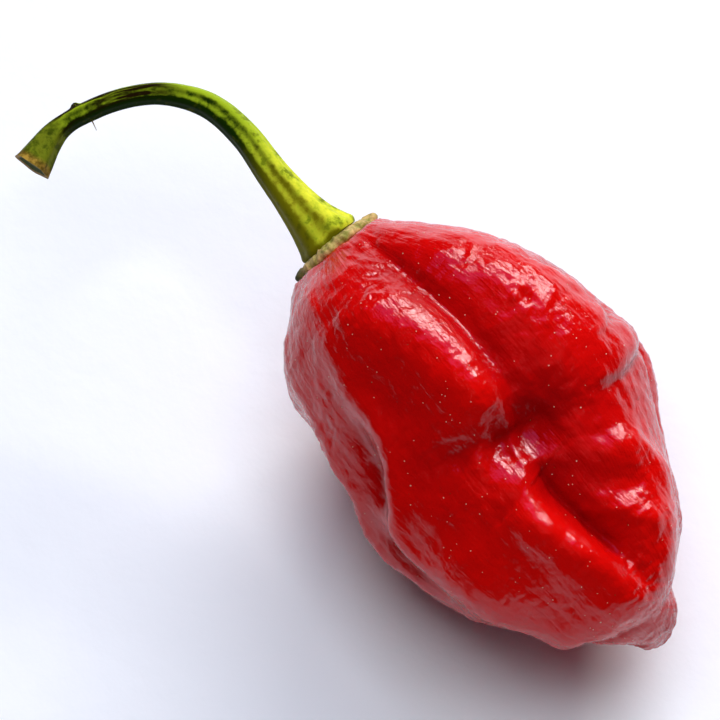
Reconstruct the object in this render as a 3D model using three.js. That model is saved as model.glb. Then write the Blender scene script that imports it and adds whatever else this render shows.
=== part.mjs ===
// A ripe red chilli pepper of the short, lantern-shaped kind, picked and lying on its side:
// a wrinkled, deeply furrowed pod, the corky calyx on its broad end, and a long curved stalk.
// Millimetres, +Z up. The origin is the middle of the flat spot that the pod rests on, and
// +X runs from the calyx towards the tip.
import * as THREE from "three";
import { mergeVertices } from "three/addons/utils/BufferGeometryUtils.js";

// Driving dimensions
const POD_LENGTH = 51.4;
const POD_PITCH = 10; // degrees that the pod's axis drops towards its tip
const FACE_TURN = 16; // degrees from straight up to the pod's broad face
const SEAT = new THREE.Vector3(-24.6, 0, 19.8); // middle of the plain pod's broad end
const SEAT_DEPTH = 0.7; // along the pod's axis from there to the flat that the calyx sits on
const SEAT_LEAN = 7; // degrees that this flat leans towards the broad face
const SEAT_RADIUS = 5.6;
const REST_BLEND = 0.5; // the skin eases into the flat spot over this height each way
const CALYX_RADIUS = 4.2;
const CALYX_HEIGHT = 1.0;
const STALK_ANGLES = 5; // blunt edges round the stalk
const GAP = 0.3; // clear space between the pod, the calyx and the stalk

// Fineness of the faceted surfaces
const POD_SIDES = 72;
const POD_RINGS = 72;
const POD_CAP_RINGS = 2;
const CALYX_SIDES = 40;
const STALK_SIDES = 20;
const STALK_STEPS = 44;

// The pod's half-widths along its axis: distance from the broad end, then the reach to the
// left flank, to the right flank, to the broad face and to the underside.
const POD_REACH = [
  [0.0, 4.9, 4.9, 4.9, 4.9],
  [0.9, 6.0, 5.4, 5.8, 5.8],
  [3.0, 8.5, 7.3, 8.6, 8.2],
  [6.0, 11.1, 9.9, 11.5, 10.9],
  [10.0, 13.0, 12.8, 13.9, 13.6],
  [15.0, 13.6, 15.6, 15.0, 15.8],
  [21.0, 14.9, 17.0, 15.6, 17.0],
  [27.0, 16.0, 17.8, 15.4, 17.1],
  [33.0, 15.1, 14.9, 14.2, 15.4],
  [38.0, 13.2, 12.2, 13.3, 12.6],
  [43.0, 9.1, 9.5, 12.3, 9.2],
  [47.0, 5.4, 5.1, 10.0, 5.4],
  [50.0, 1.6, 2.4, 6.0, 2.2],
  [51.0, 0.8, 1.2, 3.2, 1.1],
  [POD_LENGTH, 0, 0, 0, 0],
];
const [LEFT, RIGHT, FACE, BACK] = [1, 2, 3, 4];

// The pod's lobes and folds. Each is a line over the skin: a swell is a rounded ridge or, with a
// negative height, a rounded dip, a crease is a sharp-bottomed valley, and a step raises the side
// of the larger angle, or the broad end's side where its line runs round the pod. A point of a
// line is [distance from the broad end, degrees round the pod, strength], where 0 degrees is
// straight up and positive degrees go round to the left flank.
const FOLDS = [
  { name: "main furrow", kind: "crease", height: -2.1, width: 2.3,
    line: [[1, -6, 0.25], [6, -4, 0.6], [12, -3, 0.8], [18.5, -2, 0.9], [23.5, 0, 1], [26, 3, 0.6],
      [27.5, 5, 0.2]] },
  { name: "edge of the first lobe", kind: "step", height: 0.5, width: 1.1,
    line: [[4, 2, 0.2], [8, 1, 0.5], [13, 0, 0.8], [19, 0, 1], [23.5, 2, 1], [26.5, 6, 0.9]] },
  { name: "wide start of the furrow", kind: "swell", height: -1.0, width: 3.4,
    line: [[4, 5, 0.5], [8, 5, 1], [12, 3, 0.8], [15, 2, 0.3]] },
  { name: "first lobe", kind: "swell", height: 1.3, width: 4.0,
    line: [[5, 32, 0.6], [9, 28, 0.9], [13, 21, 1], [16, 16, 1], [20, 14, 1], [24, 14, 1]] },
  { name: "end of the first lobe", kind: "swell", height: 0.8, width: 3.2,
    line: [[23.5, 12, 1], [24, 20, 0.6]] },
  { name: "flat of the face", kind: "swell", height: -0.7, width: 5.5,
    line: [[8, 30, 0.6], [14, 31, 1], [20, 31, 1], [24, 33, 0.6]] },
  { name: "drop into the hollow", kind: "swell", height: -1.9, width: 2.3,
    line: [[27.4, -9, 0.3], [28, -3, 0.9], [28.2, 5, 1], [28, 12, 0.7]] },
  { name: "hollow", kind: "swell", height: -1.5, width: 4.2,
    line: [[29.6, 4, 0.8], [30.5, -3, 1], [31.5, -12, 0.6]] },
  { name: "valley from the hook to the hollow", kind: "swell", height: -0.6, width: 3.4,
    line: [[29, -40, 0.4], [29.3, -28, 0.7], [29, -14, 1]] },
  { name: "second lobe", kind: "swell", height: 0.9, width: 5.2,
    line: [[9, -32, 0.6], [14, -34, 1], [20, -36, 1]] },
  { name: "shoulder by the calyx", kind: "swell", height: 0.6, width: 3.0,
    line: [[5, 62, 0.8], [7, 82, 1], [10, 100, 0.8]] },
  { name: "valley under the first lobe", kind: "crease", height: -2.2, width: 2.4,
    line: [[28, 11, 0.4], [27.6, 15, 0.9], [27, 21, 1], [26.4, 31, 0.8], [25.8, 42, 0.4]] },
  { name: "bridge under the first lobe", kind: "swell", height: 0.5, width: 1.1,
    line: [[25.5, 17, 0.4], [26.8, 20, 1], [28, 27, 0.7]] },
  { name: "lower crease", kind: "crease", height: -2.3, width: 1.2,
    line: [[31.6, 8, 0.3], [33, 10, 0.8], [34.5, 11, 1], [36, 10.5, 1], [38.5, 8, 1], [41.4, 4.5, 0.9],
      [43.8, 4, 0.6], [46, 3, 0.15]] },
  { name: "edge of the lower lobe", kind: "step", height: 1.5, width: 1.3,
    line: [[33, 19.5, 0.3], [34.5, 18.5, 0.8], [36, 17.3, 1], [38.5, 15, 1], [41, 12.5, 1],
      [43.5, 10.5, 0.6]] },
  { name: "sides of the lower crease", kind: "swell", height: -0.5, width: 3.2,
    line: [[32, 6, 1], [36, 8, 1], [40, 5, 0.8]] },
  { name: "lower lobe", kind: "swell", height: 1.8, width: 4.2,
    line: [[30, 26, 0.5], [32, 25, 0.8], [35, 23, 0.9], [38, 20, 0.9], [42, 15, 0.7], [46, 12, 0.3]] },
  { name: "corner of the lower lobe", kind: "swell", height: 2.6, width: 4.0,
    line: [[30, 54, 0.4], [34, 58, 0.8], [38, 61, 0.9], [42, 60, 0.6], [45, 55, 0.6], [46.5, 48, 0.4]] },
  { name: "corner by the tip", kind: "swell", height: 0.6, width: 3.0,
    line: [[39, -38, 0.4], [42, -28, 0.9], [45, -12, 1], [46, 12, 1], [45.5, 36, 0.8]] },
  { name: "right lobe", kind: "swell", height: 1.2, width: 4.0,
    line: [[33, -22, 0.6], [36, -20, 1], [40, -17, 1], [44, -10, 0.7]] },
  { name: "flank ridge", kind: "swell", height: 0.9, width: 1.8,
    line: [[5, 46, 0.2], [10, 46, 0.4], [14, 49, 0.6], [18, 49, 0.8], [20.4, 50, 1], [22.3, 53, 1],
      [24, 57, 1], [25.2, 63, 1], [27.2, 69, 1], [29.6, 71, 0.9], [32.4, 69, 0.6], [35.6, 67, 0.3]] },
  { name: "fall of the flank", kind: "step", height: -0.5, width: 1.7,
    line: [[8, 50, 0.3], [14, 52, 0.8], [20, 54, 1], [24, 62, 1], [28, 74, 0.8], [33, 76, 0.4]] },
  { name: "flank dent", kind: "swell", height: -1.3, width: 2.0,
    line: [[19, 63, 0.6], [21.5, 66, 1], [23.8, 70, 0.9]] },
  { name: "outer ridge", kind: "swell", height: 0.7, width: 1.6,
    line: [[11, 80, 0.4], [14.3, 83, 0.7], [17.5, 86, 1], [20.8, 86, 1], [23.7, 92, 1], [26.3, 94, 1],
      [29.7, 90, 0.8], [33.3, 88, 0.5]] },
  { name: "outer groove", kind: "crease", height: -0.6, width: 1.4,
    line: [[26, 84, 0.5], [29, 81, 1], [33, 80, 1], [37, 80, 0.4]] },
  { name: "lip of the shoulder", kind: "step", height: 0.55, width: 0.6,
    line: [[14.6, -41, 0.3], [16.5, -48, 0.8], [18.4, -56, 1], [20.6, -60, 1], [23.2, -53, 0.9],
      [24.7, -44, 0.5]] },
  { name: "shoulder fold", kind: "crease", height: -0.7, width: 1.0,
    line: [[14.6, -44, 0.3], [16.5, -52, 0.9], [18.4, -60, 1], [21, -64, 1], [23.6, -56, 0.8]] },
  { name: "small knob", kind: "swell", height: 0.4, width: 1.6,
    line: [[24.5, -56, 1]] },
  { name: "edge of the hook", kind: "step", height: 0.4, width: 0.9,
    line: [[26.5, -72, 0.8], [28.2, -58, 1], [29.2, -48, 1], [29.5, -38, 0.8], [29.5, -28, 0.3]] },
  { name: "hooked crease", kind: "crease", height: -0.7, width: 1.1,
    line: [[27, -72, 1], [28.8, -56, 1], [29.8, -42, 0.8], [30, -28, 0.3]] },
  { name: "right-hand fold", kind: "crease", height: -0.8, width: 1.1,
    line: [[28, -72, 1], [30, -70, 1], [32, -68, 1], [35, -68, 0.8], [37, -66, 0.3]] },
  { name: "cross ridge", kind: "swell", height: 0.45, width: 1.5,
    line: [[34.3, -12, 0.5], [34.8, -20, 1], [35.3, -29, 1], [37, -35, 0.8]] },
  { name: "right knob", kind: "swell", height: 0.6, width: 2.0,
    line: [[38.8, -38, 1]] },
  { name: "crease knobs", kind: "swell", height: 0.5, width: 1.3,
    line: [[38.6, -3, 1], [40.6, -10, 0.7], [42, -14, 1]] },
  { name: "dip beside the knobs", kind: "swell", height: -0.7, width: 1.9,
    line: [[36.5, -8, 0.8], [38, -18, 1], [38, -26, 0.5]] },
  { name: "tip fold", kind: "crease", height: -0.8, width: 0.9,
    line: [[46.7, 80, 0.8], [46.9, 62, 1], [47.8, 45, 0.9], [48.6, 30, 0.6], [49, 10, 0.2]] },
  { name: "notch at the tip", kind: "swell", height: -0.9, width: 1.6,
    line: [[48.5, 66, 1], [50, 60, 0.8]] },
  { name: "tip crease", kind: "crease", height: -0.7, width: 0.9,
    line: [[47.5, -60, 0.6], [48, -45, 1], [48.7, -25, 1], [49, -5, 0.6]] },
  { name: "tip corner", kind: "swell", height: 0.5, width: 1.8,
    line: [[45.2, 74, 1]] },
  { name: "left furrow of the underside", kind: "crease", height: -1.8, width: 3.0,
    line: [[3, 124, 0.4], [14, 127, 1], [27, 124, 1], [38, 118, 0.7], [45, 112, 0.3]] },
  { name: "right furrow of the underside", kind: "crease", height: -2.2, width: 2.8,
    line: [[3, -112, 0.4], [14, -118, 1], [26, -112, 1], [36, -118, 0.8], [44, -110, 0.3]] },
  { name: "far shoulder dent", kind: "swell", height: -1.0, width: 3.0,
    line: [[14, -92, 1]] },
  { name: "far flank dent", kind: "swell", height: -1.0, width: 2.4,
    line: [[30, -97, 1], [34, -90, 1]] },
  { name: "far flank ridge", kind: "swell", height: 0.8, width: 2.2,
    line: [[20, -96, 0.5], [25, -94, 1]] },
];
const LINE_STEPS = 6; // straight pieces between two points of a fold's line
const CREASE_SOFTNESS = 0.22; // round bottom of a crease, as a share of its width
const STEP_REACH = 4; // a step dies out over this many of its widths
const FOLD_FREE_END = 3; // the folds die out over this length at the calyx
const FOLD_FREE_TIP = 0.8;

// The calyx's teeth: degrees round the rim, reach past the rim and half-width in degrees
const CALYX_TEETH = [[106, 0.95, 9], [-74, 1.0, 8], [-150, 0.5, 12], [176, 0.6, 10], [30, 0.25, 14]];
const CALYX_WAVES = [[5, 0.12, 20], [9, 0.1, 75], [14, 0.07, 10]]; // count, depth, turn in degrees

// The stalk's middle line from the seat, and its radius against the share of its length
const STALK_LINE = [
  [-4.3, -0.4, 1.4], [-9.4, -0.4, 2.5], [-14.4, 0, 2.9], [-19.1, -0.6, 3.1], [-22.8, -2.8, 3.0],
  [-25.1, -5.8, 2.9], [-26.7, -9.6, 2.4], [-27.5, -13.7, 1.5], [-26.3, -18.1, 0.5],
];
const STALK_RADII = [
  [0, 3.1], [0.012, 3.3], [0.03, 3.0], [0.08, 2.38], [0.16, 1.86], [0.28, 1.53], [0.42, 1.38],
  [0.55, 1.2], [0.65, 1.08], [0.84, 1.06], [0.92, 1.4], [0.97, 1.75], [1, 2.0],
];
const STALK_EDGE_DEPTH = 0.07; // how far the blunt edges stand out, as a share of the radius

const pitch = THREE.MathUtils.degToRad(POD_PITCH);
const faceTurn = THREE.MathUtils.degToRad(FACE_TURN);
const toTip = new THREE.Vector3(Math.cos(pitch), 0, -Math.sin(pitch));
const toTop = new THREE.Vector3(Math.sin(pitch), 0, Math.cos(pitch));
const toLeft = new THREE.Vector3().crossVectors(toTip, toTop);

// The calyx and the stalk's foot stand square on the leaning seat
const toFace = toTop.clone().multiplyScalar(Math.cos(faceTurn)).addScaledVector(toLeft, Math.sin(faceTurn));
const lean = THREE.MathUtils.degToRad(SEAT_LEAN);
const leaning = new THREE.Quaternion().setFromAxisAngle(toFace.clone().cross(toTip).normalize(), lean);
const intoPod = toTip.clone().applyQuaternion(leaning);
const seat = SEAT.clone().addScaledVector(toTip, SEAT_DEPTH);

// How far along the pod its skin starts
const skinStart = (around) => SEAT_DEPTH + Math.tan(lean) * SEAT_RADIUS * Math.cos(around - faceTurn);

// A smooth curve through a column of a table that never overshoots its values
function smoothColumn(table, column) {
  const x = table.map((row) => row[0]);
  const y = table.map((row) => row[column]);
  const last = x.length - 1;
  const rise = x.slice(1).map((value, i) => (y[i + 1] - y[i]) / (value - x[i]));
  const slope = x.map((_, i) => {
    if (i === 0) return 1.5 * rise[0];
    if (i === last) return 1.5 * rise[last - 1];
    if (rise[i - 1] * rise[i] <= 0) return 0;
    const before = 2 * (x[i + 1] - x[i]) + (x[i] - x[i - 1]);
    const after = (x[i + 1] - x[i]) + 2 * (x[i] - x[i - 1]);
    return (before + after) / (before / rise[i - 1] + after / rise[i]);
  });
  return (at) => {
    const value = THREE.MathUtils.clamp(at, x[0], x[last]);
    let i = 0;
    while (i < last - 1 && value > x[i + 1]) i += 1;
    const step = x[i + 1] - x[i];
    const t = (value - x[i]) / step;
    const u = 1 - t;
    return u * u * ((1 + 2 * t) * y[i] + t * step * slope[i])
      + t * t * ((3 - 2 * t) * y[i + 1] - u * step * slope[i + 1]);
  };
}

const reach = [LEFT, RIGHT, FACE, BACK].map((column) => smoothColumn(POD_REACH, column));

// A point of the plain pod, before its folds
function skin(along, around) {
  const c = Math.cos(around - faceTurn);
  const s = Math.sin(around - faceTurn);
  const side = s > 0 ? reach[0](along) : reach[1](along);
  const front = c > 0 ? reach[2](along) : reach[3](along);
  const radius = c * c * front + s * s * side;
  return SEAT.clone()
    .addScaledVector(toTip, along)
    .addScaledVector(toTop, radius * Math.cos(around))
    .addScaledVector(toLeft, radius * Math.sin(around));
}

function skinNormal(along, around) {
  const step = 0.05;
  const turn = 0.002;
  const before = Math.max(along - step, 0);
  const after = Math.min(along + step, POD_LENGTH);
  const lengthwise = skin(after, around).sub(skin(before, around));
  const crosswise = skin(along, around + turn).sub(skin(along, around - turn));
  return crosswise.cross(lengthwise).normalize();
}

// A fold's line, laid on the plain skin as short straight pieces
function layLine(fold) {
  const points = fold.line.map(([along, around, strength]) => new THREE.Vector3(along, around, strength));
  const toSkin = (p) => ({ at: skin(p.x, THREE.MathUtils.degToRad(p.y)), strength: p.z });
  if (points.length === 1) return [toSkin(points[0])];
  const curve = new THREE.CatmullRomCurve3(points, false, "catmullrom", 0.5);
  return curve.getPoints(LINE_STEPS * (points.length - 1)).map(toSkin);
}

const laidFolds = FOLDS.map((fold) => ({ ...fold, pieces: layLine(fold) }));

// How far a point of the skin is from a line, how far to its side, and the fold's strength there
function nearestOnLine(point, normal, pieces) {
  let best = { distance: point.distanceTo(pieces[0].at), side: 0, strength: pieces[0].strength };
  const straight = new THREE.Line3();
  const foot = new THREE.Vector3();
  const direction = new THREE.Vector3();
  for (let i = 0; i < pieces.length - 1; i += 1) {
    straight.set(pieces[i].at, pieces[i + 1].at);
    const t = straight.closestPointToPointParameter(point, true);
    straight.at(t, foot);
    const distance = point.distanceTo(foot);
    if (distance < best.distance) {
      straight.delta(direction).normalize();
      const across = direction.cross(normal);
      best = {
        distance,
        side: across.dot(foot.sub(point).negate()),
        strength: THREE.MathUtils.lerp(pieces[i].strength, pieces[i + 1].strength, t),
      };
    }
  }
  return best;
}

// The share of its height that a fold has at a distance from its line
function foldShape(fold, distance, side) {
  if (fold.kind === "crease") {
    const soft = CREASE_SOFTNESS * fold.width;
    return Math.exp(-(Math.hypot(distance, soft) - soft) / fold.width);
  }
  if (fold.kind === "step") {
    return (side / Math.hypot(side, fold.width)) * Math.exp(-((distance / (STEP_REACH * fold.width)) ** 2));
  }
  return Math.exp(-((distance / fold.width) ** 2));
}

// The height of all the folds at a point of the plain skin
function foldHeight(point, normal, along) {
  const fade = Math.min(1, along / FOLD_FREE_END, (POD_LENGTH - along) / FOLD_FREE_TIP);
  let height = 0;
  for (const fold of laidFolds) {
    const { distance, side, strength } = nearestOnLine(point, normal, fold.pieces);
    height += fold.height * strength * foldShape(fold, distance, side);
  }
  return height * fade;
}

// The underside is flat where it meets the surface that the pod lies on
function settle(point) {
  const z = point.z;
  if (z <= -REST_BLEND) point.z = 0;
  else if (z < REST_BLEND) point.z = (z + REST_BLEND) ** 2 / (4 * REST_BLEND);
  return point;
}

// three's own solids are closed once the vertices along their seams are joined
function closed(geometry) {
  geometry.deleteAttribute("normal");
  geometry.deleteAttribute("uv");
  return mergeVertices(geometry, 1e-5);
}

// Moves every vertex of a geometry to the place that a function gives it
function reshape(geometry, place) {
  const position = geometry.getAttribute("position");
  const vertex = new THREE.Vector3();
  for (let i = 0; i < position.count; i += 1) {
    vertex.fromBufferAttribute(position, i);
    const target = place(vertex);
    position.setXYZ(i, target.x, target.y, target.z);
  }
  geometry.computeVertexNormals();
  return geometry;
}

// A ball whose rings become the pod's cross-sections, closer together towards the tip
function podGeometry() {
  const ball = closed(new THREE.SphereGeometry(1, POD_SIDES, POD_RINGS));
  return reshape(ball, (vertex) => {
    const ring = Math.round((Math.acos(THREE.MathUtils.clamp(vertex.y, -1, 1)) / Math.PI) * POD_RINGS);
    const around = Math.atan2(vertex.z, vertex.x);
    const start = skinStart(around);
    if (ring < POD_CAP_RINGS) return seat.clone().lerp(skin(start, around), ring / POD_CAP_RINGS);
    if (ring === POD_RINGS) return SEAT.clone().addScaledVector(toTip, POD_LENGTH);
    const share = (ring - POD_CAP_RINGS) / (POD_RINGS - POD_CAP_RINGS);
    const eased = 0.35 * share + 0.65 * Math.sin((share * Math.PI) / 2);
    const along = THREE.MathUtils.lerp(start, POD_LENGTH, eased);
    const plain = skin(along, around);
    const normal = skinNormal(along, around);
    return settle(plain.clone().addScaledVector(normal, foldHeight(plain, normal, along)));
  });
}

// A low dished disc with a ragged, toothed rim
function calyxGeometry() {
  const profile = [
    [0, 0], [2.2, 0], [CALYX_RADIUS - 0.2, 0], [CALYX_RADIUS, 0.25], [CALYX_RADIUS - 0.05, 0.55],
    [3.9, 0.8], [3.5, CALYX_HEIGHT - 0.05], [1.8, CALYX_HEIGHT], [0, CALYX_HEIGHT],
  ].map(([radius, height]) => new THREE.Vector2(radius, height));
  const disc = closed(new THREE.LatheGeometry(profile, CALYX_SIDES));
  return reshape(disc, (vertex) => {
    const radius = Math.hypot(vertex.x, vertex.z);
    const around = Math.atan2(vertex.z, vertex.x);
    const rim = THREE.MathUtils.smoothstep(radius, 3.4, CALYX_RADIUS);
    let wave = 0;
    for (const [count, depth, turn] of CALYX_WAVES) {
      wave += depth * Math.cos(count * around + THREE.MathUtils.degToRad(turn));
    }
    for (const [at, length, halfWidth] of CALYX_TEETH) {
      const away = Math.cos(around - THREE.MathUtils.degToRad(at));
      const width = 1 - Math.cos(THREE.MathUtils.degToRad(halfWidth));
      wave += length * Math.exp(-(1 - away) / width);
    }
    const grown = radius > 0 ? (radius + rim * wave) / radius : 1;
    return new THREE.Vector3(vertex.x * grown, vertex.y, vertex.z * grown);
  });
}

// A five-angled tapering tube, flared at the calyx and at the cut end
function stalkGeometry() {
  const foot = seat.clone().sub(SEAT).addScaledVector(intoPod, -(GAP + CALYX_HEIGHT + GAP));
  const points = [foot, ...STALK_LINE.map((p) => new THREE.Vector3(...p))];
  const curve = new THREE.CatmullRomCurve3(points, false, "centripetal");
  const frames = curve.computeFrenetFrames(STALK_STEPS, false);
  const radiusAt = smoothColumn(STALK_RADII, 1);
  const rod = closed(new THREE.CylinderGeometry(1, 1, 1, STALK_SIDES, STALK_STEPS));
  return reshape(rod, (vertex) => {
    const share = vertex.y + 0.5;
    const step = Math.round(share * STALK_STEPS);
    const around = Math.atan2(vertex.z, vertex.x);
    const edge = 1 + STALK_EDGE_DEPTH * Math.cos(STALK_ANGLES * around);
    const radius = radiusAt(share) * edge * Math.hypot(vertex.x, vertex.z);
    return curve.getPointAt(share)
      .addScaledVector(frames.binormals[step], radius * Math.cos(around))
      .addScaledVector(frames.normals[step], radius * Math.sin(around));
  });
}

function piece(name, geometry, colour, roughness) {
  const material = new THREE.MeshStandardMaterial({ color: colour, roughness, metalness: 0 });
  const mesh = new THREE.Mesh(geometry, material);
  mesh.name = name;
  return mesh;
}

const pod = piece("pod", podGeometry(), 0xad0c0c, 0.25);

// The calyx sits on the pod's broad end
const calyx = piece("calyx", calyxGeometry(), 0x7d7a33, 0.7);
const calyxSeat = new THREE.Group();
calyxSeat.position.copy(seat).addScaledVector(intoPod, -GAP);
calyxSeat.quaternion.setFromRotationMatrix(
  new THREE.Matrix4().makeBasis(toTop, toTip.clone().negate(), toLeft),
).premultiply(leaning);
calyxSeat.add(calyx);

const stalk = piece("stalk", stalkGeometry(), 0x5f7d1c, 0.5);
stalk.position.copy(SEAT);

const pepper = new THREE.Group();
pepper.add(pod, calyxSeat, stalk);

export default pepper;
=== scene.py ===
"""The looks of a ripe red chilli pepper lying on white paper: its waxy wrinkled pod, the corky
calyx and the curved green stalk."""

import math

import bmesh
import bpy
import numpy as np
from bpy.props import FloatProperty, FloatVectorProperty, IntProperty, PointerProperty
from mathutils import Matrix, Vector


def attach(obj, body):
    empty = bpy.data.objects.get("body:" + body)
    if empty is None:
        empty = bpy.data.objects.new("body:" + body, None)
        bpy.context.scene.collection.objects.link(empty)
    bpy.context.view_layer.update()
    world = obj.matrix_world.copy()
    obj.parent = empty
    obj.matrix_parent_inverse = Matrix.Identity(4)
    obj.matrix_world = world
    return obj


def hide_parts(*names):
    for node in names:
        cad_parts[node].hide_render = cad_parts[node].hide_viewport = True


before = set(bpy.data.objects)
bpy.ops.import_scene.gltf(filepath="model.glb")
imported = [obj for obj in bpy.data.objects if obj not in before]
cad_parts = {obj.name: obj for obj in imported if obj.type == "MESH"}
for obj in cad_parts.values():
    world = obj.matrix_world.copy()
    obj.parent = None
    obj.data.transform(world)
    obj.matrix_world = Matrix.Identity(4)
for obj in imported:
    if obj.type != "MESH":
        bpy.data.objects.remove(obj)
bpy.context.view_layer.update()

bl_info = {
    "name": "Chilli Pepper",
    "version": (1, 0, 0),
    "blender": (4, 5, 0),
    "location": "3D View > Sidebar > Pepper",
    "description": "Builds a ripe red chilli pepper with its calyx and curved stalk",
    "category": "Mesh",
}

BODY = "root"
MM = 0.001

# The pod's place and plain shape, in millimetres and degrees, as in the part's source
POD_LENGTH = 51.4
POD_RADIUS = 15.0
POD_PITCH = math.radians(10)
FACE_TURN = math.radians(16)
SEAT = np.array([-24.6, 0.0, 19.8])
SEAT_RADIUS = 5.6
SEAT_DEPTH = 0.7
SEAT_SLOPE = 0.12
REST_BLEND = 0.5
TO_TIP = np.array([math.cos(POD_PITCH), 0, -math.sin(POD_PITCH)])
TO_TOP = np.array([math.sin(POD_PITCH), 0, math.cos(POD_PITCH)])
TO_LEFT = np.cross(TO_TIP, TO_TOP)

# Distance from the broad end, then the reach to the left flank, the right flank, the broad
# face and the underside
POD_REACH = np.array([
    [0.0, 4.9, 4.9, 4.9, 4.9],
    [0.9, 6.0, 5.4, 5.8, 5.8],
    [3.0, 8.5, 7.3, 8.6, 8.2],
    [6.0, 11.1, 9.9, 11.5, 10.9],
    [10.0, 13.0, 12.8, 13.9, 13.6],
    [15.0, 13.6, 15.6, 15.0, 15.8],
    [21.0, 14.9, 17.0, 15.6, 17.0],
    [27.0, 16.0, 17.8, 15.4, 17.1],
    [33.0, 15.1, 14.9, 14.2, 15.4],
    [38.0, 13.2, 12.2, 13.3, 12.6],
    [43.0, 9.1, 9.5, 12.3, 9.2],
    [47.0, 5.4, 5.1, 10.0, 5.4],
    [50.0, 1.6, 2.4, 6.0, 2.2],
    [51.0, 0.8, 1.2, 3.2, 1.1],
    [POD_LENGTH, 0, 0, 0, 0],
])
LEFT, RIGHT, FACE, BACK = 1, 2, 3, 4

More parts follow.
